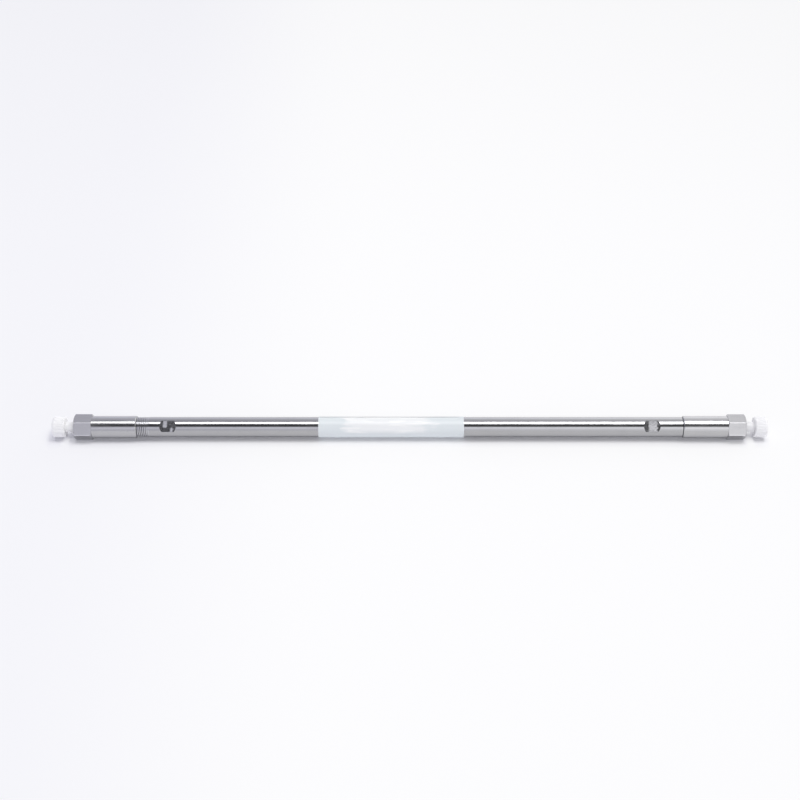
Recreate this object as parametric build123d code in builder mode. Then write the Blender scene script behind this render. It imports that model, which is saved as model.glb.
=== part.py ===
from build123d import *
from math import cos, radians, sin, tan
import os

# A packed steel chromatography column, lying on one flat of each hexagon, with a storage
# plug screwed into each port. Millimetres. +X runs along the column from the inlet to the
# outlet and +Z is up. The origin is on the resting surface, below the middle of the tube.
# Along the column, places are given as their distance out from the middle ("out").

# ---- Driving dimensions ----

# Column tube and its packing
TUBE_LENGTH = 250.0
TUBE_OD = 8.4
TUBE_BORE = 4.6
TUBE_END_CHAMFER = 0.3

# Outside thread of the tube, kept as a plain cylinder at its root diameter
THREAD_ROOT = 7.5
THREAD_CLEARANCE = 0.05
THREAD_RUNOUT = 2.0
INLET_THREAD_LENGTH = 15.4
OUTLET_THREAD_LENGTH = 10.0

# Wrench flats, milled into the tube on two opposite sides near each end
WRENCH_FLATS = 7.0
WRENCH_FLAT_FROM_MIDDLE = 99.9
WRENCH_CUTTER = 6.8
WRENCH_FLAT_TILT = 45.0

# Frit and the seal ring round it
SEAL_THICKNESS = 1.6
FRIT_OD = 5.0

# End nut: hexagon, sleeve over the tube thread, and port block between them
HEX_FLATS = 9.5
HEX_LENGTH = 7.4
HEX_EDGE_RADIUS = 0.15
HEX_CHAMFER_ANGLE = 30.0
HEX_OUTER_LAND = 9.3
HEX_INNER_LAND = 10.1
NUT_LENGTH = 25.8
SEAT_TO_FACE = 12.2
SLEEVE_OD = 9.2
SLEEVE_LIP_CHAMFER = 0.3
SLEEVE_MOUTH_BORE = 8.5
SLEEVE_MOUTH_DEPTH = 2.4
THREAD_RELIEF_BORE = 8.0
THREAD_RELIEF_LENGTH = 1.8
DISTRIBUTOR_DEPTH = 0.25
FLOW_HOLE = 0.8

# Coned port for a 10-32 fitting, its thread kept as a plain bore near the major diameter
PORT_BORE = 4.7
PORT_THREAD_DEPTH = 7.2
PORT_MOUTH_CHAMFER = 0.4
PORT_CONE_MOUTH = 4.0
PORT_CONE_ANGLE = 40.0
PORT_PILOT = 1.65
PORT_PILOT_DEPTH = 0.6

# Storage plug
PLUG_CLEARANCE = 0.05
PLUG_TIP_CLEARANCE = 0.08
PLUG_TIP_LENGTH = 2.6
PLUG_SHANK_LENGTH = 6.4
PLUG_SHANK_CHAMFER = 0.3
PLUG_NECK = 4.3
PLUG_HEAD_STANDOFF = 3.8
PLUG_HEAD_OD = 8.5
PLUG_HEAD_LENGTH = 5.2
PLUG_OUTER_CHAMFER = 0.6
PLUG_INNER_CHAMFER = 0.3
GRIP_FLUTES = 24
GRIP_FLUTE_DEPTH = 0.15
GRIP_FLUTE_STOP = 0.2

# Film label
LABEL_FROM = -37.8
LABEL_TO = 22.3
LABEL_THICKNESS = 0.12
LABEL_SEAM_ANGLE = 23.0
LABEL_SEAM_GAP = 14.0

# ---- Places worked out from them ----

AXIS_HEIGHT = HEX_FLATS / 2
TUBE_END = TUBE_LENGTH / 2
SEAT = TUBE_END + SEAL_THICKNESS
NUT_FACE = SEAT + SEAT_TO_FACE
HEX_START = NUT_FACE - HEX_LENGTH
SLEEVE_END = NUT_FACE - NUT_LENGTH
HEAD_START = NUT_FACE + PLUG_HEAD_STANDOFF
HEAD_END = HEAD_START + PLUG_HEAD_LENGTH
NUT_THREAD_BORE = THREAD_ROOT + 2 * THREAD_CLEARANCE
HEX_CORNERS = HEX_FLATS / cos(radians(30))
PORT_CONE_START = NUT_FACE - PORT_THREAD_DEPTH
PORT_CONE_SLOPE = tan(radians(PORT_CONE_ANGLE / 2))
PORT_CONE_END = PORT_CONE_START - (PORT_CONE_MOUTH - PORT_PILOT) / 2 / PORT_CONE_SLOPE
PILOT_END = PORT_CONE_END - PORT_PILOT_DEPTH

INLET = -1
OUTLET = 1
COLUMN_AXIS = Axis((0, 0, AXIS_HEIGHT), (1, 0, 0))


def lengthwise(end):
    """Half-section plane: x is the distance out from the middle, y the radius."""
    return Plane(origin=(0, 0, AXIS_HEIGHT), x_dir=(end, 0, 0), z_dir=(0, -end, 0))


def crosswise(end, out):
    """Plane square to the column at a distance out from the middle, facing out."""
    return Plane(origin=(end * out, 0, AXIS_HEIGHT), x_dir=(0, 1, 0), z_dir=(end, 0, 0))


def half_section(end, outline):
    """Closed outline of (out, radius) points, ready to turn about the column's axis."""
    with BuildSketch(lengthwise(end)) as section:
        with BuildLine():
            Polyline(*outline, close=True)
        make_face()
    return section.sketch


def finish(part, name):
    """Name a piece and write it to its own file."""
    part.label = name
    export_step(part, f"parts/{name}.step")


os.makedirs("parts", exist_ok=True)

# ---- Column tube ----

tube_radius = TUBE_OD / 2
root_radius = THREAD_ROOT / 2
bore_radius = TUBE_BORE / 2
inlet_thread_start = TUBE_END - INLET_THREAD_LENGTH
outlet_thread_start = TUBE_END - OUTLET_THREAD_LENGTH

with BuildPart() as column_tube:
    revolve(
        half_section(
            OUTLET,
            [
                (-TUBE_END, bore_radius),
                (-TUBE_END, root_radius),
                (-inlet_thread_start, root_radius),
                (THREAD_RUNOUT - inlet_thread_start, tube_radius),
                (outlet_thread_start - THREAD_RUNOUT, tube_radius),
                (outlet_thread_start, root_radius),
                (TUBE_END, root_radius),
                (TUBE_END, bore_radius),
            ],
        ),
        axis=COLUMN_AXIS,
    )
    end_faces = column_tube.faces().filter_by(Axis.X).sort_by(Axis.X)
    rims = (end_faces[0].edges() + end_faces[-1].edges()).filter_by(GeomType.CIRCLE)
    chamfer([rim for rim in rims if rim.radius > bore_radius], TUBE_END_CHAMFER)
    tilt = radians(WRENCH_FLAT_TILT)
    flat_planes = []
    for end in (INLET, OUTLET):
        for facing in (1, -1):
            normal = Vector(0, -cos(tilt), sin(tilt)) * facing
            on_axis = Vector(end * WRENCH_FLAT_FROM_MIDDLE, 0, AXIS_HEIGHT)
            centre = on_axis + normal * WRENCH_FLATS / 2
            flat_planes.append(Plane(origin=centre, x_dir=(1, 0, 0), z_dir=normal))
    with BuildSketch(*flat_planes):
        Circle(WRENCH_CUTTER / 2)
    extrude(amount=TUBE_OD, mode=Mode.SUBTRACT)
finish(column_tube.part, "column_tube")

# ---- Packed bed ----

with BuildPart() as packed_bed:
    with BuildSketch(crosswise(OUTLET, -TUBE_END)):
        Circle(bore_radius)
    extrude(amount=TUBE_LENGTH)
finish(packed_bed.part, "packed_bed")


# ---- Frits and seal rings ----


def frit(end):
    """Sintered disc over the end of the bed."""
    with BuildPart() as disc:
        with BuildSketch(crosswise(end, TUBE_END)):
            Circle(FRIT_OD / 2)
        extrude(amount=SEAL_THICKNESS)
    return disc.part


def seal_ring(end):
    """Polymer ring round the frit, clamped between the tube's end and the nut's seat."""
    with BuildPart() as ring:
        with BuildSketch(crosswise(end, TUBE_END)):
            Circle(THREAD_ROOT / 2)
            Circle(FRIT_OD / 2, mode=Mode.SUBTRACT)
        extrude(amount=SEAL_THICKNESS)
    return ring.part


# ---- End nuts ----


def end_nut(end):
    """Hexagon, sleeve and port block, turned and milled from one bar."""
    corner_radius = HEX_CORNERS / 2
    rise = tan(radians(HEX_CHAMFER_ANGLE))
    outer_drop = (corner_radius - HEX_OUTER_LAND / 2) * rise
    inner_drop = (corner_radius - HEX_INNER_LAND / 2) * rise
    with BuildPart() as nut:
        # Hexagon with a flat down, its corners turned back at both faces
        with BuildSketch(crosswise(end, HEX_START)):
            RegularPolygon(radius=HEX_FLATS / 2, side_count=6, major_radius=False)
        extrude(amount=HEX_LENGTH)
        fillet(nut.edges().filter_by(Axis.X), HEX_EDGE_RADIUS)
        revolve(
            half_section(
                end,
                [
                    (HEX_START, 0),
                    (HEX_START, HEX_INNER_LAND / 2),
                    (HEX_START + inner_drop, corner_radius),
                    (NUT_FACE - outer_drop, corner_radius),
                    (NUT_FACE, HEX_OUTER_LAND / 2),
                    (NUT_FACE, 0),
                ],
            ),
            axis=COLUMN_AXIS,
            mode=Mode.INTERSECT,
        )
        # Sleeve, with a lip chamfer where it ends on the tube
        with BuildSketch(crosswise(end, SLEEVE_END)):
            Circle(SLEEVE_OD / 2)
        extrude(amount=HEX_START - SLEEVE_END)
        lip = nut.edges().filter_by(GeomType.CIRCLE).sort_by(Axis.X, reverse=end < 0)[0]
        chamfer(lip, SLEEVE_LIP_CHAMFER)
        # Bore for the tube thread, with a plain mouth and a relief at its end
        revolve(
            half_section(
                end,
                [
                    (SLEEVE_END, 0),
                    (SLEEVE_END, SLEEVE_MOUTH_BORE / 2),
                    (SLEEVE_END + SLEEVE_MOUTH_DEPTH, SLEEVE_MOUTH_BORE / 2),
                    (SLEEVE_END + SLEEVE_MOUTH_DEPTH, NUT_THREAD_BORE / 2),
                    (TUBE_END - THREAD_RELIEF_LENGTH, NUT_THREAD_BORE / 2),
                    (TUBE_END - THREAD_RELIEF_LENGTH, THREAD_RELIEF_BORE / 2),
                    (TUBE_END, THREAD_RELIEF_BORE / 2),
                    (TUBE_END, NUT_THREAD_BORE / 2),
                    (SEAT, NUT_THREAD_BORE / 2),
                    (SEAT, 0),
                ],
            ),
            axis=COLUMN_AXIS,
            mode=Mode.SUBTRACT,
        )
        # Shallow cone that spreads the flow over the frit, then the flow hole, the pilot
        # for the capillary, the sealing cone and the threaded mouth of the port
        revolve(
            half_section(
                end,
                [
                    (SEAT, 0),
                    (SEAT, bore_radius),
                    (SEAT + DISTRIBUTOR_DEPTH, FLOW_HOLE / 2),
                    (PILOT_END, FLOW_HOLE / 2),
                    (PILOT_END, PORT_PILOT / 2),
                    (PORT_CONE_END, PORT_PILOT / 2),
                    (PORT_CONE_START, PORT_CONE_MOUTH / 2),
                    (PORT_CONE_START, PORT_BORE / 2),
                    (NUT_FACE - PORT_MOUTH_CHAMFER, PORT_BORE / 2),
                    (NUT_FACE, PORT_BORE / 2 + PORT_MOUTH_CHAMFER),
                    (NUT_FACE, 0),
                ],
            ),
            axis=COLUMN_AXIS,
            mode=Mode.SUBTRACT,
        )
    return nut.part


# ---- Storage plugs ----


def storage_plug(end):
    """One moulding: fluted head, neck, threaded shank and conical tip."""
    shank_radius = PORT_BORE / 2 - PLUG_CLEARANCE
    cone_radius = PORT_CONE_MOUTH / 2 - PLUG_TIP_CLEARANCE
    tip_start = PORT_CONE_START
    tip_end = tip_start - PLUG_TIP_LENGTH
    tip_radius = cone_radius - PLUG_TIP_LENGTH * PORT_CONE_SLOPE
    shank_start = tip_start + PLUG_SHANK_CHAMFER
    shank_end = shank_start + PLUG_SHANK_LENGTH
    neck_radius = PLUG_NECK / 2
    head_radius = PLUG_HEAD_OD / 2
    with BuildPart() as plug:
        revolve(
            half_section(
                end,
                [
                    (tip_end, 0),
                    (tip_end, tip_radius),
                    (tip_start, cone_radius),
                    (shank_start, shank_radius),
                    (shank_end, shank_radius),
                    (shank_end + shank_radius - neck_radius, neck_radius),
                    (HEAD_START, neck_radius),
                    (HEAD_START, head_radius),
                    (HEAD_END, head_radius),
                    (HEAD_END, 0),
                ],
            ),
            axis=COLUMN_AXIS,
        )
        head_rims = plug.edges().filter_by(GeomType.CIRCLE).sort_by(SortBy.RADIUS)[-2:]
        inner_rim, outer_rim = head_rims.sort_by(Axis.X, reverse=end < 0)
        chamfer(outer_rim, PLUG_OUTER_CHAMFER)
        chamfer(inner_rim, PLUG_INNER_CHAMFER)
        # V-shaped grip flutes, open at the neck side and ending just short of the outer chamfer
        with BuildSketch(crosswise(end, HEAD_START)):
            with PolarLocations(head_radius - GRIP_FLUTE_DEPTH, GRIP_FLUTES):
                flute_mouth = 2 * GRIP_FLUTE_DEPTH
                Polygon((0, 0), (flute_mouth, -flute_mouth), (flute_mouth, flute_mouth), align=None)
        extrude(amount=PLUG_HEAD_LENGTH - PLUG_OUTER_CHAMFER - GRIP_FLUTE_STOP, mode=Mode.SUBTRACT)
    return plug.part


for end, end_name in ((INLET, "inlet"), (OUTLET, "outlet")):
    finish(frit(end), f"{end_name}_frit")
    finish(seal_ring(end), f"{end_name}_seal_ring")
    finish(end_nut(end), f"{end_name}_end_nut")
    finish(storage_plug(end), f"{end_name}_plug")

# ---- Label ----

seam_width = TUBE_OD * sin(radians(LABEL_SEAM_GAP / 2))

with BuildPart() as label:
    with BuildSketch(crosswise(OUTLET, LABEL_FROM)):
        Circle(tube_radius + LABEL_THICKNESS)
        Circle(tube_radius, mode=Mode.SUBTRACT)
        # The seam is left open on the far side, just past the top
        with Locations(Location((0, 0), 90 - LABEL_SEAM_ANGLE)):
            with Locations((tube_radius, 0)):
                Rectangle(TUBE_OD / 2, seam_width, mode=Mode.SUBTRACT)
    extrude(amount=LABEL_TO - LABEL_FROM)
finish(label.part, "label")
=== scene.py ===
"""Finishes, thread turns, label film and studio for a packed steel chromatography column."""

import math

import bmesh
import bpy
from bpy.props import FloatProperty, FloatVectorProperty, IntProperty, PointerProperty
from mathutils import Matrix, Vector


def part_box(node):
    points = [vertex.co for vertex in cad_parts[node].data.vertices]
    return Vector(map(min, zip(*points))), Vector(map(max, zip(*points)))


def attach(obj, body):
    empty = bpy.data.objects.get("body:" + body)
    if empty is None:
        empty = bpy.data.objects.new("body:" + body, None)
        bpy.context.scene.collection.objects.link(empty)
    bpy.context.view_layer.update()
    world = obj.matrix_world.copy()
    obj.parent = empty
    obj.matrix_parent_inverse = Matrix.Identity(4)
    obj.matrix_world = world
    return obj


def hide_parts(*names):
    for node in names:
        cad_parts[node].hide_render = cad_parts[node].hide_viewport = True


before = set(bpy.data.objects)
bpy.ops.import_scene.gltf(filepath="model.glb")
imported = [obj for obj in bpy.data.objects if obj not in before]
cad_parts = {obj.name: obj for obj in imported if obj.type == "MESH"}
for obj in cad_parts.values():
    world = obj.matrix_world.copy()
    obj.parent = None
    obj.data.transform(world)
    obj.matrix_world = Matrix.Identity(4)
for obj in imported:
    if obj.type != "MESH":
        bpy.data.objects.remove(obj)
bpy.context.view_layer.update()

bl_info = {
    "name": "Chromatography Column Finishes",
    "version": (1, 0, 0),
    "blender": (4, 5, 0),
    "location": "View3D > Sidebar > Column",
    "description": "Dresses a packed steel column: steels, polymer plugs, thread turns, label and studio",
    "category": "Object",
}

MM = 0.001
SMOOTH_ANGLE = math.radians(35)
WHITE = (1.0, 1.0, 1.0, 1.0)

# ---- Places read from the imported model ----

TUBE_LOW, TUBE_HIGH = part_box("column_tube")
LABEL_LOW, LABEL_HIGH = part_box("label")
NUT_LOW, NUT_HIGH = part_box("outlet_end_nut")
PLUG_LOW, PLUG_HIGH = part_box("outlet_plug")
AXIS_HEIGHT = (NUT_LOW.z + NUT_HIGH.z) / 2
TUBE_RADIUS = (TUBE_HIGH.y - TUBE_LOW.y) / 2
NUT_FACE = NUT_HIGH.x
SLEEVE_END = NUT_LOW.x
ENDS = {"inlet": -1, "outlet": 1}
# The wrench flats slope at 45 degrees
FLAT_SLOPE = math.sqrt(0.5)


# ---- Sizes and colours that a user would change ----


def length_setting(name, description, default):
    return FloatProperty(name=name, description=description, default=default, unit="LENGTH")


def angle_setting(name, description, degrees):
    return FloatProperty(
        name=name, description=description, default=math.radians(degrees), subtype="ANGLE"
    )


def gloss_setting(name, description, default):
    return FloatProperty(name=name, description=description, default=default, min=0.02, max=1.0)


def colour_setting(name, description, default):
    return FloatVectorProperty(
        name=name, description=description, default=default, subtype="COLOR", size=3
    )


class ColumnFinishes(bpy.types.PropertyGroup):
    """Colours and gloss of the column's own materials."""

    tube_steel: colour_setting("Tube steel", "Reflected colour of the polished tube", (0.45, 0.449, 0.46))
    tube_roughness: gloss_setting("Tube roughness", "Roughness of the polished tube before smudges", 0.13)
    cut_steel: colour_setting("Cut steel", "Reflected colour of freshly cut threads", (0.57, 0.568, 0.59))
    nut_steel: colour_setting(
        "Nut steel", "Reflected colour of the turned and milled end nuts", (0.51, 0.508, 0.518)
    )
    nut_roughness: gloss_setting("Nut roughness", "Roughness of the end nuts before smudges", 0.17)
    flat_out: length_setting(
        "Flat out", "Distance of the wrench flats' middle from the column's middle", 99.9 * MM
    )
    plug_polymer: colour_setting(
        "Plug polymer", "Colour of the moulded storage plugs", (0.89, 0.888, 0.892)
    )
    label_film: colour_setting("Label film", "Colour of the bare label film", (0.77, 0.815, 0.83))
    label_wiped_and_highlight: colour_setting(
        "Wiped label film", "Colour where the film is wiped whiter", (0.92, 0.925, 0.925)
    )


class ThreadSizes(bpy.types.PropertyGroup):
    """Sizes of the screw threads, which the solids hold as plain cylinders."""

    tube_pitch: length_setting("Tube thread pitch", "Pitch of the fine thread on the tube", 0.75 * MM)
    tube_root: length_setting("Tube thread root", "Root radius of the fine thread on the tube", 3.75 * MM)
    tube_crest: length_setting(
        "Tube thread crest", "Crest radius of the fine thread on the tube", 4.16 * MM
    )
    port_pitch: length_setting(
        "Port thread pitch", "Pitch of the port thread, 32 turns to the inch", 25.4 / 32 * MM
    )
    port_wall: length_setting(
        "Port wall", "Radius of the port's wall, at the roots of its thread", 2.35 * MM
    )
    port_crest: length_setting(
        "Port thread crest", "Radius of the crests of the thread inside the port", 2.03 * MM
    )
    port_depth: length_setting(
        "Port thread depth", "How far the port's thread runs in from the nut's face", 7.2 * MM
    )
    plug_root: length_setting(
        "Plug thread root", "Root radius of the thread on the storage plug", 1.95 * MM
    )
    plug_crest: length_setting(
        "Plug thread crest", "Crest radius of the thread on the storage plug", 2.33 * MM
    )
    steps_per_turn: IntProperty(
        name="Steps per turn",
        description="Straight runs that each turn of thread is made of",
        default=48,
        min=12,
        max=128,
    )


class PlugSizes(bpy.types.PropertyGroup):
    """Sizes of the storage plugs."""

    head_length: length_setting("Head length", "Length of the fluted head", 5.2 * MM)
    rim_radius: length_setting("Rim radius", "Radius of the rim round the outer face", 0.8 * MM)
    inner_chamfer: length_setting("Inner chamfer", "Chamfer round the face on the neck's side", 0.3 * MM)
    flutes: IntProperty(
        name="Flutes",
        description="Number of grip flutes round the head",
        default=24,
        min=6,
        max=60,
    )
    flute_depth: length_setting("Flute depth", "Depth of the grip flutes", 0.15 * MM)
    neck_radius: length_setting(
        "Neck radius", "Radius of the neck between the thread and the head", 2.15 * MM
    )
    shank_length: length_setting("Shank length", "Length of the threaded shank", 6.4 * MM)
    tip_length: length_setting("Tip length", "Length of the conical tip", 2.6 * MM)
    tip_radius: length_setting("Tip radius", "Radius of the tip where it starts", 1.92 * MM)
    tip_angle: angle_setting("Tip angle", "Angle across the conical tip", 40)


class LabelSizes(bpy.types.PropertyGroup):
    """Sizes of the film label."""

    thickness: length_setting("Thickness", "Thickness of the film", 0.1 * MM)
    corner_radius: length_setting("Corner radius", "Radius of the label's corners", 0.4 * MM)
    seam_angle: angle_setting("Seam angle", "Where the long edges meet, tilted back from the top", 23)
    seam_gap: angle_setting("Seam gap", "Angle left open between the long edges", 14)
    corner_lift: length_setting("Corner lift", "How far one corner has come up from the tube", 0.4 * MM)


class StageSettings(bpy.types.PropertyGroup):
    """Floor, light and camera."""

    floor_color: colour_setting("Floor", "Colour of the paper floor", (0.925, 0.923, 0.95))
    lamp_power: FloatProperty(
        name="Overhead lamp",
        description="Power of the overhead softbox in watts",
        default=4.9,
        min=0.0,
    )
    lamp_length: length_setting("Lamp length", "Length of the overhead softbox", 1.0)
    lamp_width: length_setting("Lamp width", "Width of the overhead softbox", 0.33)
    lamp_tilt: angle_setting("Lamp tilt", "Angle that the softbox's right end hangs down by", 36)
    room_level: FloatProperty(
        name="Room light",
        description="Strength of the light from the room",
        default=1.38,
        min=0.0,
    )
    lens: FloatProperty(
        name="Lens",
        description="Focal length in millimetres on a 36 mm sensor",
        default=63.0,
        min=10.0,
    )
    camera_distance: length_setting(
        "Camera distance", "Distance from the column's middle along the view", 0.581
    )
    camera_elevation: angle_setting("Camera elevation", "Angle that the camera looks down at", 40)


class ColumnKit(bpy.types.PropertyGroup):
    """All settings of the column."""

    finishes: PointerProperty(type=ColumnFinishes)
    threads: PointerProperty(type=ThreadSizes)
    plug: PointerProperty(type=PlugSizes)
    label: PointerProperty(type=LabelSizes)
    stage: PointerProperty(type=StageSettings)


# ---- Node helpers ----


class Wiring:
    """Adds nodes to a tree and links them, so that a material reads as a list of steps."""

    def __init__(self, tree):
        self.tree = tree

    def node(self, kind, **settings):
        made = self.tree.nodes.new(kind)
        for name, value in settings.items():
            setattr(made, name, value)
        return made

    def feed(self, socket, value):
        if isinstance(value, bpy.types.NodeSocket):
            self.tree.links.new(value, socket)
        else:
            socket.default_value = value

    def feed_all(self, made, values):
        """Feeds a node's first inputs in order; returns its outputs."""
        for socket, value in zip(made.inputs, values):
            self.feed(socket, value)
        return made.outputs

    def math(self, operation, *values, clamp=False):
        made = self.node("ShaderNodeMath", operation=operation, use_clamp=clamp)
        return self.feed_all(made, values)[0]

    def plus(self, first, second):
        return self.math("ADD", first, second)

    def minus(self, first, second):
        return self.math("SUBTRACT", first, second)

    def times(self, first, second):
        return self.math("MULTIPLY", first, second)

    def vector(self, operation, *values):
        made = self.node("ShaderNodeVectorMath", operation=operation)
        return self.feed_all(made, values)["Value" if operation == "LENGTH" else "Vector"]

    def split(self, vector):
        made = self.node("ShaderNodeSeparateXYZ")
        self.feed(made.inputs[0], vector)
        return made.outputs["X"], made.outputs["Y"], made.outputs["Z"]

    def join(self, x, y, z):
        return self.feed_all(self.node("ShaderNodeCombineXYZ"), (x, y, z))[0]

    def placed(self, vector, scale, location=(0, 0, 0)):
        made = self.node("ShaderNodeMapping", vector_type="TEXTURE")
        self.feed(made.inputs["Vector"], vector)
        made.inputs["Location"].default_value = location
        made.inputs["Scale"].default_value = scale
        return made.outputs[0]

    def noise(self, vector, scale, detail=2.0, roughness=0.5):
        made = self.node("ShaderNodeTexNoise")
        self.feed(made.inputs["Vector"], vector)
        self.feed(made.inputs["Scale"], scale)
        made.inputs["Detail"].default_value = detail
        made.inputs["Roughness"].default_value = roughness
        return made.outputs["Fac"]

    def ease(self, value, low, high, to_low=0.0, to_high=1.0):
        made = self.node("ShaderNodeMapRange", interpolation_type="SMOOTHSTEP")
        for name, number in (
            ("Value", value),
            ("From Min", low),
            ("From Max", high),
            ("To Min", to_low),
            ("To Max", to_high),
        ):
            self.feed(made.inputs[name], number)
        return made.outputs["Result"]

    def blend(self, share, first, second, blend_type="MIX"):
        made = self.node("ShaderNodeMix", data_type="RGBA", blend_type=blend_type, clamp_factor=True)
        self.feed(made.inputs["Factor"], share)
        colours = [s for s in made.inputs if s.type == "RGBA"]
        self.feed(colours[0], first)
        self.feed(colours[1], second)
        return next(s for s in made.outputs if s.type == "RGBA")

    def bump(self, height, strength, distance, normal=None):
        made = self.node("ShaderNodeBump")
        self.feed(made.inputs["Height"], height)
        made.inputs["Strength"].default_value = strength
        made.inputs["Distance"].default_value = distance
        if normal is not None:
            self.feed(made.inputs["Normal"], normal)
        return made.outputs["Normal"]

    def group(self, name, **values):
        made = self.node("ShaderNodeGroup", node_tree=bpy.data.node_groups[name])
        for socket_name, value in values.items():
            self.feed(made.inputs[socket_name.replace("_", " ").capitalize()], value)
        return made.outputs


def opaque(colour):
    """A colour with its alpha."""
    return (*colour, 1.0)


def shader_group(name, numbers, outputs):
    """New shader group that reads a vector and some numbers; returns its wiring and its sockets."""
    tree = bpy.data.node_groups.new(name, "ShaderNodeTree")
    tree.interface.new_socket("Vector", in_out="INPUT", socket_type="NodeSocketVector")
    for label, default in numbers.items():
        socket = tree.interface.new_socket(label, in_out="INPUT", socket_type="NodeSocketFloat")
        socket.default_value = default
    for label in outputs:
        tree.interface.new_socket(label, in_out="OUTPUT", socket_type="NodeSocketFloat")
    wiring = Wiring(tree)
    return wiring, wiring.node("NodeGroupInput").outputs, wiring.node("NodeGroupOutput").inputs


def new_material(name):
    """Empty node material; returns it with its wiring, its shader and its Object coordinates."""
    material = bpy.data.materials.new(name)
    material.use_nodes = True
    wiring = Wiring(material.node_tree)
    coordinates = wiring.node("ShaderNodeTexCoord").outputs["Object"]
    return material, wiring, material.node_tree.nodes["Principled BSDF"], coordinates


# ---- Shared surface effects ----


def build_turned_rings():
    """Fine rings left by a lathe or a centreless grinder, square to the column."""
    w, given, out = shader_group("turned_rings", {"Spacing": 0.1 * MM}, ["Height", "Tone"])
    along, _, _ = w.split(given["Vector"])
    count = w.math("DIVIDE", along, given["Spacing"])
    fine = w.noise(w.join(count, 0.0, 0.0), 1.0, detail=3.0, roughness=0.7)
    broad = w.noise(w.join(w.times(count, 0.07), 3.0, 0.0), 1.0, detail=2.0)
    w.feed(out["Height"], w.plus(fine, w.times(broad, 0.5)))
    w.feed(out["Tone"], broad)


def build_handling_marks():
    """Smudges, and sparse fine scratches that run mostly along the column."""
    w, given, out = shader_group("handling_marks", {"Amount": 1.0}, ["Smudge", "Scratch"])
    smudge = w.noise(w.placed(given["Vector"], scale=(9 * MM, 3 * MM, 3 * MM)), 1.0, detail=4.0)
    smudge = w.ease(smudge, 0.42, 0.72)
    streak = w.noise(w.placed(given["Vector"], scale=(6 * MM, 0.07 * MM, 0.07 * MM)), 1.0, detail=1.0)
    streak = w.ease(streak, 0.70, 0.78)
    apart = w.placed(given["Vector"], scale=(7 * MM, 4 * MM, 4 * MM), location=(0.3, 0, 0))
    patch = w.noise(apart, 1.0)
    scratch = w.times(streak, w.ease(patch, 0.5, 0.62))
    w.feed(out["Smudge"], w.times(smudge, given["Amount"]))
    w.feed(out["Scratch"], w.times(scratch, given["Amount"]))


def build_milled_flat():
    """Floor of a wrench flat: fine cutter arcs, a mottle and a stretch where the cutter left it leaning."""
    w, given, out = shader_group(
        "milled_flat",
        {
            "Flat centre": 0.1,
            "Patch centre": 0.1,
            "Patch reach": 1 * MM,
            "Patch low": -3 * MM,
            "Patch high": 3 * MM,
        },
        ["Arcs", "Mottle", "Patch"],
    )
    bore_edge = 3.3 * MM
    half_length = 3.45 * MM
    arc_spacing = 0.2 * MM
    soft = 0.45 * MM
    ragged_by = 1.6 * MM
    along, across, up = w.split(given["Vector"])
    up = w.minus(up, AXIS_HEIGHT)
    radius = w.vector("LENGTH", w.join(0.0, across, up))
    below_skin = w.ease(radius, TUBE_RADIUS - 0.012 * MM, TUBE_RADIUS - 0.06 * MM)
    outside_bore = w.math("GREATER_THAN", radius, bore_edge)
    near = w.math("ABSOLUTE", w.minus(along, given["Flat centre"]))
    near = w.math("LESS_THAN", near, half_length)
    mask = w.times(w.times(below_skin, outside_bore), near)
    climb = w.times(w.plus(across, up), FLAT_SLOPE)
    offset = w.minus(along, given["Patch centre"])
    reach = w.vector("LENGTH", w.join(offset, climb, 0.0))
    wander = w.noise(given["Vector"], 700.0, detail=2.0)
    turns = w.plus(w.math("DIVIDE", reach, arc_spacing), w.times(wander, 0.6))
    arcs = w.math("SINE", w.times(turns, math.tau))
    ragged = w.times(w.minus(wander, 0.5), ragged_by)
    side = w.plus(w.math("ABSOLUTE", offset), ragged)
    inside = w.ease(w.minus(given["Patch reach"], side), -soft, soft)
    above = w.ease(w.minus(climb, given["Patch low"]), -soft, soft)
    under = w.ease(w.minus(given["Patch high"], climb), -soft, soft)
    mottle = w.minus(w.noise(given["Vector"], 1500.0, detail=2.0), 0.5)
    w.feed(out["Arcs"], w.times(arcs, mask))
    w.feed(out["Mottle"], w.times(mottle, mask))
    patch = w.times(w.times(inside, above), w.times(under, mask))
    w.feed(out["Patch"], patch)


def build_fine_grain():
    """Even fine grain, as on sintered metal, packed powder or a satin moulding."""
    w, given, out = shader_group("fine_grain", {"Grain size": 0.1 * MM}, ["Height", "Tone"])
    scale = w.math("DIVIDE", 1.0, given["Grain size"])
    cells = w.node("ShaderNodeTexVoronoi", feature="F1")
    w.feed(cells.inputs["Vector"], given["Vector"])
    w.feed(cells.inputs["Scale"], scale)
    w.feed(out["Height"], w.minus(1.0, cells.outputs["Distance"]))
    w.feed(out["Tone"], w.noise(given["Vector"], w.times(scale, 0.35), detail=3.0))


# ---- Materials ----


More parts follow.
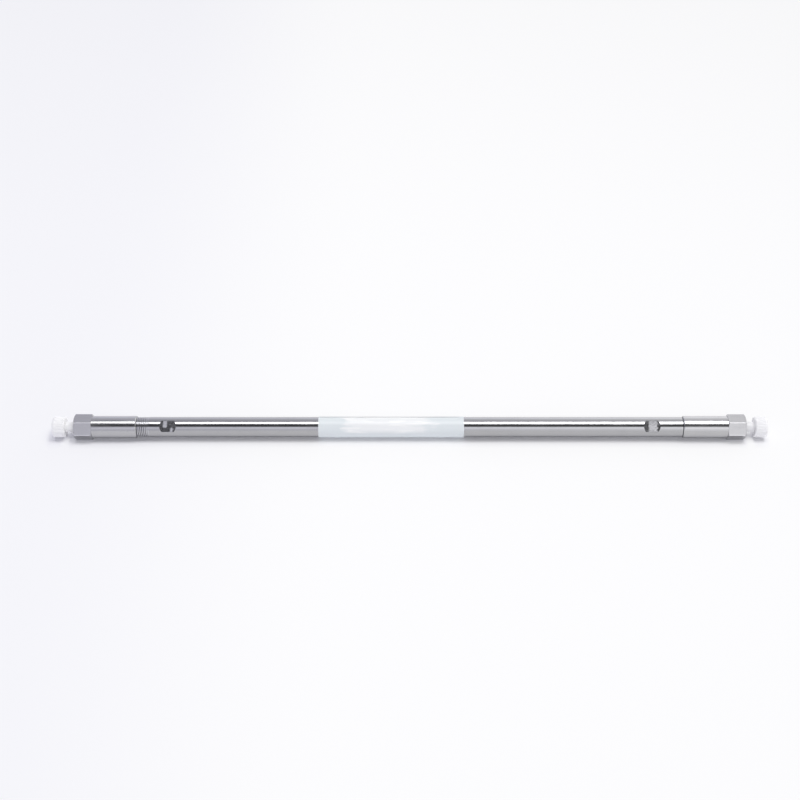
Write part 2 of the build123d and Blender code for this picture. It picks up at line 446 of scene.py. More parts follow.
def steel(name, colour, roughness, ring_spacing, ring_depth, corner_radius=None, flats=()):
    """Polished or turned steel: rings, smudges and scratches, corners brightened as wear and as a painted
    highlight, and milled flats.

    Each flat is its centre, its patch's centre, reach, low and high edge, lean, and mottle in mm.
    """
    material, w, shader, coordinates = new_material(name)
    rings = w.group("turned_rings", vector=coordinates, spacing=ring_spacing)
    marks = w.group("handling_marks", vector=coordinates, amount=1.0)
    dull = tuple(c * 0.90 for c in colour)
    bright = tuple(min(1.0, c * 1.35) for c in colour)
    tone = w.blend(w.times(rings["Tone"], 0.45), opaque(colour), opaque(dull))
    tone = w.blend(w.times(marks["Smudge"], 0.35), tone, opaque(dull))
    rough = w.plus(roughness, w.times(marks["Smudge"], 0.07))
    rough = w.plus(rough, w.times(rings["Tone"], 0.04))
    if corner_radius:
        _, across, up = w.split(coordinates)
        reach = w.vector("LENGTH", w.join(0.0, across, w.minus(up, AXIS_HEIGHT)))
        # Painted highlight and wear: the corners are brightened all round, as worn edges and as a stand-in
        # for the glint along them
        worn_glint_band = 0.22 * MM
        worn_and_glint = w.ease(reach, corner_radius - worn_glint_band, corner_radius)
        tone = w.blend(worn_and_glint, tone, opaque(bright))
    normal = w.bump(rings["Height"], 1.0, ring_depth)
    normal = w.bump(marks["Scratch"], 0.5, 0.002 * MM, normal)
    for flat_centre, patch_centre, reach, low, high, lean, mottle in flats:
        milled = w.group(
            "milled_flat",
            vector=coordinates,
            flat_centre=flat_centre,
            patch_centre=patch_centre,
            patch_reach=reach,
            patch_low=low,
            patch_high=high,
        )
        normal = w.bump(milled["Mottle"], 1.0, mottle * MM, normal)
        normal = w.bump(milled["Arcs"], 1.0, 0.0012 * MM, normal)
        # Leans the flat towards its lower edge
        lower = w.times(milled["Patch"], -lean * FLAT_SLOPE)
        normal = w.vector("NORMALIZE", w.vector("ADD", normal, w.join(0.0, lower, lower)))
    if flats:
        # Painted shade: a near-black line round the tube at each sleeve's end, darkening the joint as its
        # shaded gap would
        along, _, _ = w.split(coordinates)
        to_sleeve = w.math("ABSOLUTE", w.minus(w.math("ABSOLUTE", along), SLEEVE_END))
        joint_shade = w.ease(to_sleeve, 0.45 * MM, 0.2 * MM)
        painted_joint_shade = (0.06, 0.06, 0.065)
        tone = w.blend(joint_shade, tone, opaque(painted_joint_shade))
    w.feed(shader.inputs["Base Color"], tone)
    w.feed(shader.inputs["Roughness"], rough)
    w.feed(shader.inputs["Normal"], normal)
    shader.inputs["Metallic"].default_value = 1.0
    return material


def thread_steel(name, colour):
    """Cut thread: bright flanks with faint chatter."""
    material, w, shader, coordinates = new_material(name)
    grain = w.group("fine_grain", vector=coordinates, grain_size=0.12 * MM)
    dull = tuple(c * 0.8 for c in colour)
    w.feed(shader.inputs["Base Color"], w.blend(grain["Tone"], opaque(colour), opaque(dull)))
    w.feed(shader.inputs["Roughness"], w.plus(0.2, w.times(grain["Tone"], 0.1)))
    w.feed(shader.inputs["Normal"], w.bump(grain["Height"], 0.3, 0.003 * MM))
    shader.inputs["Metallic"].default_value = 1.0
    return material


def moulded_polymer(name, colour, roughness, grain_size, scatter):
    """Moulded polymer: satin grain, slight shade changes and light that sinks in a little."""
    material, w, shader, coordinates = new_material(name)
    grain = w.group("fine_grain", vector=coordinates, grain_size=grain_size)
    marks = w.group("handling_marks", vector=coordinates, amount=0.6)
    shade = tuple(c * 0.95 for c in colour)
    tone = w.blend(w.times(grain["Tone"], 0.5), opaque(colour), opaque(shade))
    w.feed(shader.inputs["Base Color"], tone)
    w.feed(shader.inputs["Roughness"], w.plus(roughness, w.times(marks["Smudge"], 0.08)))
    normal = w.bump(grain["Height"], 0.25, 0.01 * MM)
    w.feed(shader.inputs["Normal"], w.bump(marks["Scratch"], 0.3, 0.004 * MM, normal))
    sinks_in = 2.4 * MM
    shader.inputs["Subsurface Weight"].default_value = scatter
    shader.inputs["Subsurface Radius"].default_value = (sinks_in, sinks_in, sinks_in)
    shader.inputs["Subsurface Scale"].default_value = 1.0
    return material


def granular(name, colour, metallic, roughness, grain_size):
    """Sintered metal or packed powder."""
    material, w, shader, coordinates = new_material(name)
    grain = w.group("fine_grain", vector=coordinates, grain_size=grain_size)
    dark = tuple(c * 0.7 for c in colour)
    w.feed(shader.inputs["Base Color"], w.blend(grain["Tone"], opaque(colour), opaque(dark)))
    w.feed(shader.inputs["Roughness"], w.plus(roughness, w.times(grain["Tone"], 0.15)))
    w.feed(shader.inputs["Normal"], w.bump(grain["Height"], 0.6, grain_size * 0.3))
    shader.inputs["Metallic"].default_value = metallic
    return material


def label_film(name, colour, wiped_and_highlight):
    """Pale film: cool ends, a whiter wiped stretch in the middle that is painted only on its upper side as
    a highlight, fine texture and soft gloss.
    """
    material, w, shader, coordinates = new_material(name)
    along, _, up = w.split(coordinates)
    grain = w.group("fine_grain", vector=coordinates, grain_size=0.15 * MM)
    wiped_middle = -9.0 * MM
    middle = w.math("ABSOLUTE", w.minus(along, wiped_middle))
    ragged = w.noise(w.placed(coordinates, scale=(7 * MM, 2.2 * MM, 2.2 * MM)), 1.0, detail=2.5)
    edge = w.plus(middle, w.times(w.minus(ragged, 0.5), 26 * MM))
    # Painted highlight: the whiter wiped stretch and its smears are kept to the tube's upper side, where
    # the lamp's gloss lies
    height = w.ease(up, AXIS_HEIGHT - 0.5 * MM, AXIS_HEIGHT + 2.0 * MM)
    whiter = w.times(w.ease(edge, 20 * MM, 11 * MM), height)
    tone = w.blend(whiter, opaque(colour), opaque(wiped_and_highlight))
    smear_highlight = w.noise(w.placed(coordinates, scale=(11 * MM, 1.3 * MM, 1.3 * MM)), 1.0, detail=1.5)
    smear_highlight = w.times(w.ease(smear_highlight, 0.5, 0.62), whiter)
    smear_highlight_colour = (1.0, 1.0, 0.985)
    tone = w.blend(smear_highlight, tone, opaque(smear_highlight_colour))
    greyer = tuple(c * 0.94 for c in colour)
    tone = w.blend(w.times(grain["Tone"], 0.3), tone, opaque(greyer))
    w.feed(shader.inputs["Base Color"], tone)
    w.feed(shader.inputs["Roughness"], w.plus(0.32, w.times(ragged, 0.16)))
    w.feed(shader.inputs["Normal"], w.bump(grain["Height"], 0.2, 0.004 * MM))
    shader.inputs["Coat Weight"].default_value = 0.15
    shader.inputs["Coat Roughness"].default_value = 0.2
    return material


# ---- Mesh helpers ----


def end_matrix(end):
    """Turns a piece made along +Z, with Z its distance out from the middle, onto one end of the axis."""
    turn = Matrix.Rotation(math.radians(90) * end, 4, "Y")
    return Matrix.Translation((0, 0, AXIS_HEIGHT)) @ turn


def close_shell(shell, mesh):
    """Writes a shell to a mesh with its faces turned one way, and frees it."""
    bmesh.ops.recalc_face_normals(shell, faces=shell.faces)
    shell.to_mesh(mesh)
    shell.free()
    return mesh


def finish_mesh(name, mesh, material):
    """Object at the origin from a mesh that is already in place, with its faces smooth up to an angle."""
    mesh.name = name
    mesh.materials.clear()
    mesh.materials.append(material)
    mesh.shade_smooth()
    mesh.set_sharp_from_angle(angle=SMOOTH_ANGLE)
    made = bpy.data.objects.new(name, mesh)
    bpy.context.scene.collection.objects.link(made)
    return made


def geometry_result(name, tree, values):
    """Plain mesh that a Geometry Nodes tree makes with these inputs."""
    holder = bpy.data.objects.new(name + "_maker", bpy.data.meshes.new(name + "_seed"))
    bpy.context.scene.collection.objects.link(holder)
    modifier = holder.modifiers.new("maker", "NODES")
    modifier.node_group = tree
    for item in tree.interface.items_tree:
        if item.item_type == "SOCKET" and item.in_out == "INPUT" and item.name in values:
            modifier[item.identifier] = values[item.name]
    evaluated = holder.evaluated_get(bpy.context.evaluated_depsgraph_get())
    mesh = bpy.data.meshes.new_from_object(evaluated)
    bpy.data.objects.remove(holder)
    return mesh


def thread_tree():
    """Geometry Nodes tree for one run of screw thread: a ridge swept along a helix, fading at both ends."""
    tree = bpy.data.node_groups.get("screw_thread")
    if tree:
        return tree
    tree = bpy.data.node_groups.new("screw_thread", "GeometryNodeTree")
    for label, kind in (
        ("Turns", "Float"),
        ("Pitch", "Float"),
        ("Root Radius", "Float"),
        ("Ridge Height", "Float"),
        ("Base Width", "Float"),
        ("Crest Width", "Float"),
        ("Steps per Turn", "Int"),
        ("Fade", "Float"),
        ("Material", "Material"),
    ):
        tree.interface.new_socket(label, in_out="INPUT", socket_type="NodeSocket" + kind)
    tree.interface.new_socket("Geometry", in_out="OUTPUT", socket_type="NodeSocketGeometry")
    w = Wiring(tree)
    given = w.node("NodeGroupInput").outputs
    helix = w.node("GeometryNodeCurveSpiral")
    w.feed(helix.inputs["Resolution"], given["Steps per Turn"])
    w.feed(helix.inputs["Rotations"], given["Turns"])
    w.feed(helix.inputs["Start Radius"], given["Root Radius"])
    w.feed(helix.inputs["End Radius"], given["Root Radius"])
    w.feed(helix.inputs["Height"], w.times(given["Turns"], given["Pitch"]))
    helix.inputs["Reverse"].default_value = True
    upright = w.node("GeometryNodeSetCurveNormal", mode="Z_UP")
    w.feed(upright.inputs["Curve"], helix.outputs["Curve"])
    # The ridge starts and ends by growing out of the root over part of a turn
    place = w.node("GeometryNodeSplineParameter").outputs["Factor"]
    share = w.math("DIVIDE", given["Fade"], given["Turns"])
    rise = w.math("DIVIDE", place, share, clamp=True)
    fall = w.math("DIVIDE", w.minus(1.0, place), share, clamp=True)
    fading = w.node("GeometryNodeSetCurveRadius")
    w.feed(fading.inputs["Curve"], upright.outputs["Curve"])
    w.feed(fading.inputs["Radius"], w.math("MAXIMUM", w.math("MINIMUM", rise, fall), 0.02))
    # Ridge section: X away from the axis, Y along the screw
    section = w.node("GeometryNodeCurvePrimitiveQuadrilateral", mode="POINTS")
    half_base = w.times(given["Base Width"], 0.5)
    half_crest = w.times(given["Crest Width"], 0.5)
    sunk = w.times(given["Ridge Height"], -0.12)
    corners = (
        (sunk, w.times(half_base, -1.0)),
        (given["Ridge Height"], w.times(half_crest, -1.0)),
        (given["Ridge Height"], half_crest),
        (sunk, half_base),
    )
    for number, (out, side) in enumerate(corners, start=1):
        w.feed(section.inputs[f"Point {number}"], w.join(out, side, 0.0))
    sweep = w.node("GeometryNodeCurveToMesh")
    w.feed(sweep.inputs["Curve"], fading.outputs["Curve"])
    w.feed(sweep.inputs["Profile Curve"], section.outputs["Curve"])
    sweep.inputs["Fill Caps"].default_value = True
    w.feed(sweep.inputs["Scale"], w.node("GeometryNodeInputRadius").outputs["Radius"])
    real = w.node("GeometryNodeRealizeInstances")
    w.feed(real.inputs["Geometry"], sweep.outputs["Mesh"])
    painted = w.node("GeometryNodeSetMaterial")
    w.feed(painted.inputs["Geometry"], real.outputs["Geometry"])
    w.feed(painted.inputs["Material"], given["Material"])
    w.feed(w.node("NodeGroupOutput").inputs["Geometry"], painted.outputs["Geometry"])
    return tree


def thread_mesh(name, end, start, stop, pitch, root, crest, widths, material, steps, fade=0.4):
    """Right-hand thread between two distances out along one end; a crest below the root faces inwards.

    The widths of the ridge at its base and at its crest are shares of the pitch.
    """
    base_width, crest_width = widths
    mesh = geometry_result(
        name,
        thread_tree(),
        {
            "Turns": (stop - start) / pitch,
            "Pitch": pitch,
            "Root Radius": root,
            "Ridge Height": crest - root,
            "Base Width": pitch * base_width,
            "Crest Width": pitch * crest_width,
            "Steps per Turn": steps,
            "Fade": fade,
            "Material": material,
        },
    )
    mesh.transform(end_matrix(end) @ Matrix.Translation((0, 0, start)))
    shell = bmesh.new()
    shell.from_mesh(mesh)
    bmesh.ops.remove_doubles(shell, verts=shell.verts, dist=0.0005 * MM)
    return close_shell(shell, mesh)


def add_material(node_name, material):
    """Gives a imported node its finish."""
    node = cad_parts[node_name]
    node.data.materials.clear()
    node.data.materials.append(material)


# ---- Operators ----


class COLUMN_OT_surface_effects(bpy.types.Operator):
    """Build the surface effects that the materials share"""

    bl_idname = "column.surface_effects"
    bl_label = "Build surface effects"

    def execute(self, context):
        build_turned_rings()
        build_handling_marks()
        build_milled_flat()
        build_fine_grain()
        return {"FINISHED"}


class COLUMN_OT_tube(bpy.types.Operator):
    """Polish the tube, mill its flats and cut the turns of thread that show outside the inlet nut"""

    bl_idname = "column.tube"
    bl_label = "Finish tube"

    def execute(self, context):
        kit = context.scene.column_kit
        sizes = kit.threads
        flat_at = kit.finishes.flat_out
        polished = steel(
            "polished_tube_steel",
            kit.finishes.tube_steel,
            kit.finishes.tube_roughness,
            ring_spacing=0.35 * MM,
            ring_depth=0.0004 * MM,
            flats=(
                (-flat_at, -flat_at - 1.2 * MM, 0.6 * MM, -0.4 * MM, 3 * MM, 0.2, 0.03),
                (-flat_at, -flat_at + 1.5 * MM, 0.5 * MM, -3 * MM, -0.6 * MM, 0.14, 0.0),
                (flat_at, flat_at + 0.4 * MM, 1.75 * MM, -3 * MM, 3 * MM, 0.1, 0.05),
            ),
        )
        add_material("column_tube", polished)
        cut = thread_steel("cut_tube_thread", kit.finishes.cut_steel)
        shown_from, shown_to = 107.3 * MM, 114.9 * MM
        mesh = thread_mesh(
            "inlet_tube_thread",
            ENDS["inlet"],
            shown_from,
            shown_to,
            sizes.tube_pitch,
            sizes.tube_root,
            sizes.tube_crest,
            (0.95, 0.5),
            cut,
            sizes.steps_per_turn,
            fade=0.6,
        )
        turns = finish_mesh("inlet_tube_thread", mesh, cut)
        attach(turns, "column")
        return {"FINISHED"}


class COLUMN_OT_end_nuts(bpy.types.Operator):
    """Finish both end nuts and cut the thread inside their ports"""

    bl_idname = "column.end_nuts"
    bl_label = "Finish end nuts"

    def execute(self, context):
        kit = context.scene.column_kit
        sizes = kit.threads
        turned = steel(
            "turned_nut_steel",
            kit.finishes.nut_steel,
            kit.finishes.nut_roughness,
            ring_spacing=0.18 * MM,
            ring_depth=0.0006 * MM,
            corner_radius=5.46 * MM,
        )
        cut = thread_steel("cut_port_thread", kit.finishes.cut_steel)
        for end_name, end in ENDS.items():
            add_material(f"{end_name}_end_nut", turned)
            mesh = thread_mesh(
                f"{end_name}_port_thread",
                end,
                NUT_FACE - sizes.port_depth + sizes.port_pitch * 0.75,
                NUT_FACE - sizes.port_pitch * 0.75,
                sizes.port_pitch,
                sizes.port_wall,
                sizes.port_crest,
                (0.72, 0.14),
                cut,
                sizes.steps_per_turn,
            )
            turns = finish_mesh(f"{end_name}_port_thread", mesh, cut)
            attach(turns, "column")
        return {"FINISHED"}


class COLUMN_OT_plugs(bpy.types.Operator):
    """Mould both storage plugs, with their grip flutes and thread"""

    bl_idname = "column.plugs"
    bl_label = "Make storage plugs"

    steps_per_flute = 6
    steps_per_pitch = 10
    rim_steps = 8
    base_width = 0.72
    crest_width = 0.14

    def thread_range(self, threads):
        """Distances out where the thread starts and stops.

        The ridge runs half a pitch off the port's, so that each lies between the other's turns.
        """
        start = NUT_FACE - threads.port_depth + threads.port_pitch * 1.25
        turns = math.floor((NUT_FACE - 1.2 * MM - start) / threads.port_pitch)
        return start, start + turns * threads.port_pitch

    def ridge(self, threads, out, angle):
        """Height of the right-hand thread above its root at one place."""
        start, stop = self.thread_range(threads)
        along = (out - start) / threads.port_pitch
        left = (stop - out) / threads.port_pitch
        phase = (along - angle / math.tau) % 1.0
        from_crest = min(phase, 1.0 - phase)
        flank = (self.base_width - self.crest_width) / 2
        share = (self.base_width / 2 - from_crest) / flank
        fade = min(along, left) / 0.4
        return (threads.plug_crest - threads.plug_root) * max(0.0, min(1.0, share, fade))

    def outline(self, sizes, threads):
        """Stations from the tip to the outer face: distance out, radius and share of the flutes' depth."""
        root = threads.plug_root
        tip_end = PLUG_LOW.x
        head_end = PLUG_HIGH.x
        head_radius = (PLUG_HIGH.z - PLUG_LOW.z) / 2
        tip_start = tip_end + sizes.tip_length
        narrowing = sizes.tip_length * math.tan(sizes.tip_angle / 2)
        shank_start = tip_start + (root - sizes.tip_radius)
        head_start = head_end - sizes.head_length
        neck_fillet = 0.35 * MM
        undercut = 0.3 * MM
        flutes_end, flutes_run_out = 0.45 * MM, 0.15 * MM
        dish_radius, dish_floor, dish_depth = 0.6, 0.55, 0.12 * MM
        shank_end = tip_start + undercut + sizes.shank_length
        stations = [
            (tip_end, sizes.tip_radius - narrowing, 0),
            (tip_start, sizes.tip_radius, 0),
            (shank_start, root, 0),
        ]
        start, stop = self.thread_range(threads)
        count = round((stop - start) / threads.port_pitch * self.steps_per_pitch)
        for step in range(count + 1):
            stations.append((start + (stop - start) * step / count, root, 0))
        stations.append((shank_end, root, 0))
        stations.append((shank_end + sizes.neck_radius - root, sizes.neck_radius, 0))
        for step in range(5):
            turn = math.radians(90) * step / 4
            out = head_start - neck_fillet * (1 - math.sin(turn))
            stations.append((out, sizes.neck_radius + neck_fillet * (1 - math.cos(turn)), 0))
        stations.append((head_start, head_radius - sizes.inner_chamfer, 0.4))
        stations.append((head_start + sizes.inner_chamfer, head_radius, 1))
        rim_start = head_end - sizes.rim_radius
        stations.append((rim_start - flutes_end, head_radius, 1))
        stations.append((rim_start - flutes_run_out, head_radius, 0))
        for step in range(self.rim_steps + 1):
            turn = math.radians(90) * step / self.rim_steps
            out = rim_start + sizes.rim_radius * math.sin(turn)
            stations.append((out, head_radius - sizes.rim_radius * (1 - math.cos(turn)), 0))
        stations.append((head_end, dish_radius * head_radius, 0))
        stations.append((head_end - dish_depth, dish_floor * head_radius, 0))
        return stations

    def moulding(self, sizes, threads):
        """One plug about +Z, with its thread and grip flutes."""
        around = sizes.flutes * self.steps_per_flute
        shell = bmesh.new()
        rings = []
        for out, radius, share in self.outline(sizes, threads):
            ring = []
            for step in range(around):
                across = abs(step % self.steps_per_flute - self.steps_per_flute / 2)
                # A V at the middle of each stretch, with flat lands between
                cut = max(0.0, 1 - across / 2) * share * sizes.flute_depth
                angle = math.tau * step / around
                reach = radius - cut + self.ridge(threads, out, angle)
                ring.append(shell.verts.new((math.cos(angle) * reach, math.sin(angle) * reach, out)))
            rings.append(ring)
        for lower, upper in zip(rings, rings[1:]):
            for step in range(around):
                following = (step + 1) % around
                shell.faces.new((lower[step], lower[following], upper[following], upper[step]))
        shell.faces.new(list(reversed(rings[0])))
        shell.faces.new(rings[-1])
        return close_shell(shell, bpy.data.meshes.new("plug_moulding"))

    def execute(self, context):
        kit = context.scene.column_kit
        sizes, threads = kit.plug, kit.threads
        polymer = moulded_polymer("white_plug_polymer", kit.finishes.plug_polymer, 0.36, 0.12 * MM, 1.0)
        for end_name, end in ENDS.items():
            plug = self.moulding(sizes, threads)
            plug.transform(end_matrix(end))
            moulded = finish_mesh(f"{end_name}_plug_moulding", plug, polymer)
            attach(moulded, f"{end_name}_plug")
            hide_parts(f"{end_name}_plug")
        return {"FINISHED"}


class COLUMN_OT_inner_parts(bpy.types.Operator):
    """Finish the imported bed, the frits and the seal rings"""

    bl_idname = "column.inner_parts"
    bl_label = "Finish inner parts"

    def execute(self, context):
        add_material("packed_bed", granular("packed_silica", (0.85, 0.85, 0.84), 0.0, 0.7, 0.05 * MM))
        sintered = granular("sintered_steel", (0.36, 0.355, 0.35), 1.0, 0.5, 0.08 * MM)
        ring = moulded_polymer("seal_ring_polymer", (0.52, 0.45, 0.33), 0.45, 0.1 * MM, 0.05)
        for end_name in ENDS:
            add_material(f"{end_name}_frit", sintered)
            add_material(f"{end_name}_seal_ring", ring)
        return {"FINISHED"}


class COLUMN_OT_label(bpy.types.Operator):
    """Wrap the bare film label round the tube"""

    bl_idname = "column.label"
    bl_label = "Wrap label"

    around = 160
    along = 90

    def execute(self, context):
        kit = context.scene.column_kit
        sizes = kit.label
        inner = TUBE_RADIUS + 0.01 * MM
        half_turn = math.pi - sizes.seam_gap / 2
        # One small wrinkle low on the front: its place, reach along and round, and height
        wrinkle_out, wrinkle_turn = 7.5 * MM, 0.1
        wrinkle_length, wrinkle_arc, wrinkle_height = 1.3 * MM, 0.35, 0.22 * MM
        spring, spring_change, spring_period = 0.09, 0.03, 4.1 * MM
        length = LABEL_HIGH.x - LABEL_LOW.x
        shell = bmesh.new()
        rows = []
        for i in range(self.along + 1):
            # Stations close up at both ends, so that the corners come out round
            share = (1 - math.cos(math.pi * i / self.along)) / 2
            out = share * length
            from_end = min(out, length - out)
            short = max(0.0, sizes.corner_radius - from_end)
            trim = sizes.corner_radius - math.sqrt(sizes.corner_radius**2 - short**2)
            reach = half_turn - trim / inner
            row = []
            for j in range(self.around + 1):
                turn = reach * (2 * j / self.around - 1)
                # Turn 0 faces away from the seam, and the long edge nearer the front is at +reach
                to_edge = (reach - turn) * inner
                to_end = length - out
                near_edge = math.exp(-((to_edge / (0.7 * MM)) ** 2))
                near_corner = math.exp(-((to_edge / (1.1 * MM)) ** 2) - (to_end / (1.6 * MM)) ** 2)
                lift = sizes.corner_lift * near_corner
                sprung = (spring + spring_change * math.sin(out / spring_period)) * MM * near_edge
                from_wrinkle = (out - wrinkle_out) / wrinkle_length
                turn_from_wrinkle = (turn - wrinkle_turn) / wrinkle_arc
                wrinkle = wrinkle_height * math.exp(-(from_wrinkle**2) - turn_from_wrinkle**2)
                radius = inner + lift + sprung + wrinkle
                angle = math.pi / 2 - sizes.seam_angle + math.pi - turn
                across, up = radius * math.cos(angle), AXIS_HEIGHT + radius * math.sin(angle)
                row.append(shell.verts.new((LABEL_LOW.x + out, across, up)))
            rows.append(row)
        for first, second in zip(rows, rows[1:]):
            for a, b, c, d in zip(first, first[1:], second[1:], second):
                shell.faces.new((a, b, c, d))
        mesh = close_shell(shell, bpy.data.meshes.new("label_film"))
        outward = mesh.polygons[len(mesh.polygons) // 2]
        away = Vector((0, outward.center.y, outward.center.z - AXIS_HEIGHT))
        if outward.normal.dot(away) < 0:
            mesh.flip_normals()
        film = label_film("label_film", kit.finishes.label_film, kit.finishes.label_wiped_and_highlight)
        label = finish_mesh("label_film", mesh, film)
        thick = label.modifiers.new("film_thickness", "SOLIDIFY")
        thick.thickness = sizes.thickness
        thick.offset = 1.0
        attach(label, "column")
        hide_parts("label")
        return {"FINISHED"}


class COLUMN_OT_stage(bpy.types.Operator):
    """Set the paper floor, the overhead softbox, the room light and the camera"""

    bl_idname = "column.stage"
    bl_label = "Set stage"

    def painted_light_fringe(self, w, along, across, mirrored):
        """Painted light: how far a glow on the paper lightens the real shadow's fringe, by its place along
        and across the column.
        """
        # Painted light: the glow leaves the shadow a little to the left and lets it end soon past the plugs
        shadow_shift, shadow_end, neck_out = 0.85 * MM, 148.0 * MM, 142.0 * MM
        aside = w.math("ABSOLUTE", w.plus(along, shadow_shift))
        past = w.minus(aside, shadow_end)
        past = w.times(w.math("MAXIMUM", past, 0.0), 3.0)
        reach = w.vector("LENGTH", w.join(past, across, 0.0))
        # The glow leaves it widest by the nuts, wider still as painted shade where the metal mirrors it,
        # and paints a lit gap by the plugs' thin necks
        wider = w.plus(
            w.ease(along, -98 * MM, -124 * MM, 0.0, 1.1 * MM),
            w.ease(along, 98 * MM, 124 * MM, 0.0, 0.6 * MM),
        )
        wider = w.plus(wider, w.times(mirrored, 1.4 * MM))
        to_neck = w.math("ABSOLUTE", w.minus(aside, neck_out))
        wider = w.minus(wider, w.ease(to_neck, 2.3 * MM, 0.7 * MM, 0.0, 3.4 * MM))
        fringe_start, fringe_width = 2.2 * MM, 5.4 * MM
        out = w.minus(reach, w.plus(wider, fringe_start))
        return w.math("DIVIDE", out, fringe_width, clamp=True)

    def floor(self, settings):
        """Pale paper that keeps the shadow by the column, with painted light trimming its fringe, and fades
        to white further off.
        """
        material, w, shader, coordinates = new_material("paper_floor")
        along, across, _ = w.split(coordinates)
        fibre = w.noise(coordinates, 2500.0, detail=3.0)
        base = opaque(settings.floor_color)
        # Painted shade: towards the left the paper and its glow are darker and cooler, as if less light
        # fell there
        left_shade_cast, left_shade_glow = (0.955, 0.955, 0.975), (0.93, 0.93, 0.965)
        cool = opaque(tuple(c * s for c, s in zip(settings.floor_color, left_shade_cast)))
        side = w.ease(along, -0.16, -0.02)
        w.feed(shader.inputs["Base Color"], w.blend(side, cool, base))
        shader.inputs["Roughness"].default_value = 0.9
        shader.inputs["Specular IOR Level"].default_value = 0.0
        w.feed(shader.inputs["Normal"], w.bump(fibre, 0.05, 0.02 * MM))
        glow = w.node("ShaderNodeEmission")
        w.feed(glow.inputs["Color"], w.blend(side, opaque(left_shade_glow), WHITE))
        path = w.node("ShaderNodeLightPath").outputs
        seen = w.math("MAXIMUM", path["Is Camera Ray"], path["Is Glossy Ray"])
        seen = w.math("MAXIMUM", seen, path["Is Transmission Ray"])
        far = w.ease(w.vector("LENGTH", coordinates), 0.2, 0.9)
        # Painted light: the glow that the camera and the metal see is shaped along the column round the
        # real shadow
        painted_fringe_light = w.times(self.painted_light_fringe(w, along, across, path["Is Glossy Ray"]), 0.7)
        lift = w.math("MAXIMUM", w.plus(painted_fringe_light, 0.04), far)
        mixed = w.node("ShaderNodeMixShader")
        w.feed(mixed.inputs[0], w.times(seen, lift))
        w.feed(mixed.inputs[1], shader.outputs[0])
        w.feed(mixed.inputs[2], glow.outputs[0])
        w.feed(w.tree.nodes["Material Output"].inputs["Surface"], mixed.outputs[0])
        half_width = 7.0
        mesh = bpy.data.meshes.new("paper_floor")
        signs = ((-1, -1), (1, -1), (1, 1), (-1, 1))
        corners = [(x * half_width, y * half_width, 0) for x, y in signs]
        mesh.from_pydata(corners, [], [(0, 1, 2, 3)])
        mesh.materials.append(material)
        floor = bpy.data.objects.new("paper_floor", mesh)
        bpy.context.scene.collection.objects.link(floor)

    def room(self, settings):
        """Room light: pale walls, a dark gap above the camera side and a softer ceiling behind."""
        world = bpy.data.worlds.new("studio_room")
        bpy.context.scene.world = world
        world.use_nodes = True
        w = Wiring(world.node_tree)
        background = world.node_tree.nodes["Background"]
        x, y, z = w.split(w.node("ShaderNodeTexCoord").outputs["Generated"])
        # 0 at the horizon on the camera's side, 0.5 overhead, 1 at the horizon behind
        climb = w.math("DIVIDE", w.math("ARCTAN2", z, w.times(y, -1.0)), math.pi)
        ramp = w.node("ShaderNodeValToRGB")
        w.feed(ramp.inputs["Fac"], climb)
        near_wall = ((0.0, 0.69), (0.10, 0.77), (0.14, 0.88), (0.19, 1.0), (0.215, 0.8))
        dark_gap = ((0.25, 0.12), (0.30, 0.05), (0.37, 0.05), (0.42, 0.25))
        ceiling_and_far_wall = ((0.60, 0.38), (0.68, 0.54), (0.78, 0.69), (1.0, 1.0))
        stops = near_wall + dark_gap + ceiling_and_far_wall
        elements = ramp.color_ramp.elements
        while len(elements) < len(stops):
            elements.new(0.5)
        for element, (position, level) in zip(elements, stops):
            element.position = position
            element.color = (level, level, level, 1.0)
        sideways = w.plus(1.0, w.math("MINIMUM", w.math("MAXIMUM", x, -0.3), 0.16))
        level = w.times(sideways, settings.room_level)
        cool_side, seen_backdrop = (0.95, 0.95, 1.08), (0.97, 0.97, 0.98)
        tint = w.blend(w.ease(x, -0.5, 0.5), opaque(cool_side), WHITE)
        lit = w.blend(1.0, ramp.outputs["Color"], tint, "MULTIPLY")
        camera = w.node("ShaderNodeLightPath").outputs["Is Camera Ray"]
        w.feed(background.inputs["Color"], w.blend(camera, lit, opaque(seen_backdrop)))
        unseen = w.times(level, w.minus(1.0, camera))
        w.feed(background.inputs["Strength"], w.plus(unseen, camera))

    def lamp(self, settings):
        """Softbox above the column, along it, with its right end lower."""
        light = bpy.data.lights.new("overhead_softbox", "AREA")
        light.shape = "RECTANGLE"
        light.size = settings.lamp_length
        light.size_y = settings.lamp_width
        light.energy = settings.lamp_power
        box = bpy.data.objects.new("overhead_softbox", light)
        box.location = (0.0, -0.01, 0.93)
        box.rotation_euler = (0.0, settings.lamp_tilt, 0.0)
        bpy.context.scene.collection.objects.link(box)

    def camera(self, settings):
        """Camera that looks down at the column from the front."""
        tilt = settings.camera_elevation
        look = Vector((0, math.cos(tilt), -math.sin(tilt)))
        up = Vector((0, math.sin(tilt), math.cos(tilt)))
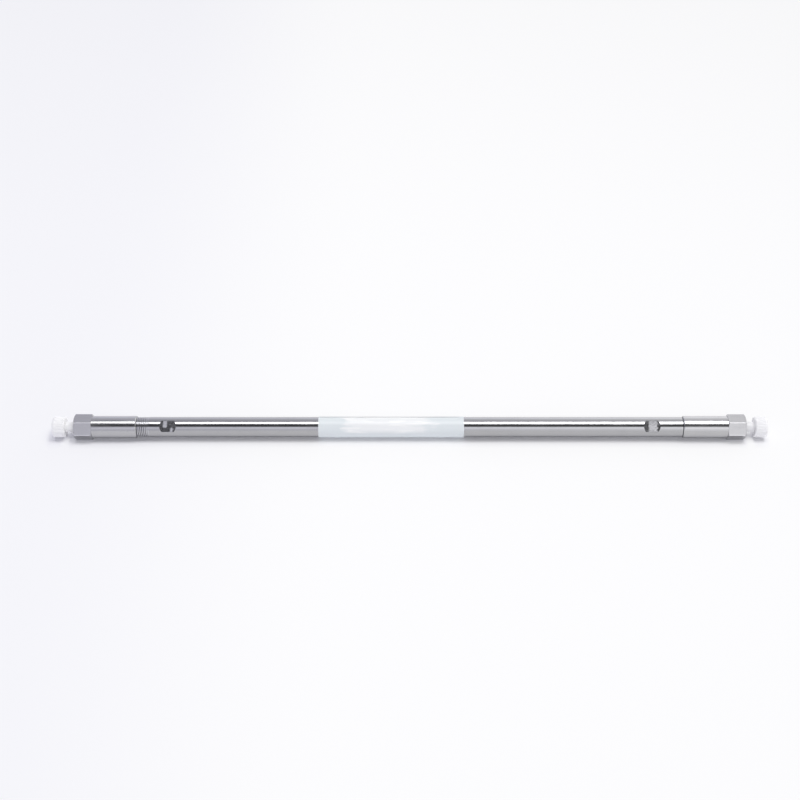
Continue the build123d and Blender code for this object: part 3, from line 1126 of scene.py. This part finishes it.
        # The column lies a little right of and below the middle of the frame
        offset = Vector((1, 0, 0)) * (4.07 * MM) - up * (11.2 * MM)
        data = bpy.data.cameras.new("camera")
        data.lens = settings.lens
        data.sensor_width = 36.0
        data.clip_start = 0.01
        data.clip_end = 30.0
        camera = bpy.data.objects.new("camera", data)
        camera.location = Vector((0, 0, AXIS_HEIGHT)) - offset - look * settings.camera_distance
        camera.rotation_mode = "QUATERNION"
        camera.rotation_quaternion = look.to_track_quat("-Z", "Y")
        bpy.context.scene.collection.objects.link(camera)
        bpy.context.scene.camera = camera

    def execute(self, context):
        settings = context.scene.column_kit.stage
        self.floor(settings)
        self.room(settings)
        self.lamp(settings)
        self.camera(settings)
        context.scene.view_settings.view_transform = "Standard"
        return {"FINISHED"}


class COLUMN_PT_panel(bpy.types.Panel):
    """Lists the steps that dress the column"""

    bl_idname = "COLUMN_PT_panel"
    bl_label = "Chromatography column"
    bl_space_type = "VIEW_3D"
    bl_region_type = "UI"
    bl_category = "Column"

    def draw(self, context):
        for operator in OPERATORS:
            self.layout.operator(operator.bl_idname)


OPERATORS = (
    COLUMN_OT_surface_effects,
    COLUMN_OT_stage,
    COLUMN_OT_tube,
    COLUMN_OT_end_nuts,
    COLUMN_OT_plugs,
    COLUMN_OT_inner_parts,
    COLUMN_OT_label,
)
SETTINGS = (ColumnFinishes, ThreadSizes, PlugSizes, LabelSizes, StageSettings, ColumnKit)


def register():
    for cls in (*SETTINGS, *OPERATORS, COLUMN_PT_panel):
        bpy.utils.register_class(cls)
    bpy.types.Scene.column_kit = PointerProperty(type=ColumnKit)


def unregister():
    del bpy.types.Scene.column_kit
    for cls in reversed((*SETTINGS, *OPERATORS, COLUMN_PT_panel)):
        bpy.utils.unregister_class(cls)


def main():
    register()
    bpy.ops.column.surface_effects()
    bpy.ops.column.stage()
    bpy.ops.column.tube()
    bpy.ops.column.end_nuts()
    bpy.ops.column.plugs()
    bpy.ops.column.inner_parts()
    bpy.ops.column.label()


if __name__ == "__main__":
    main()
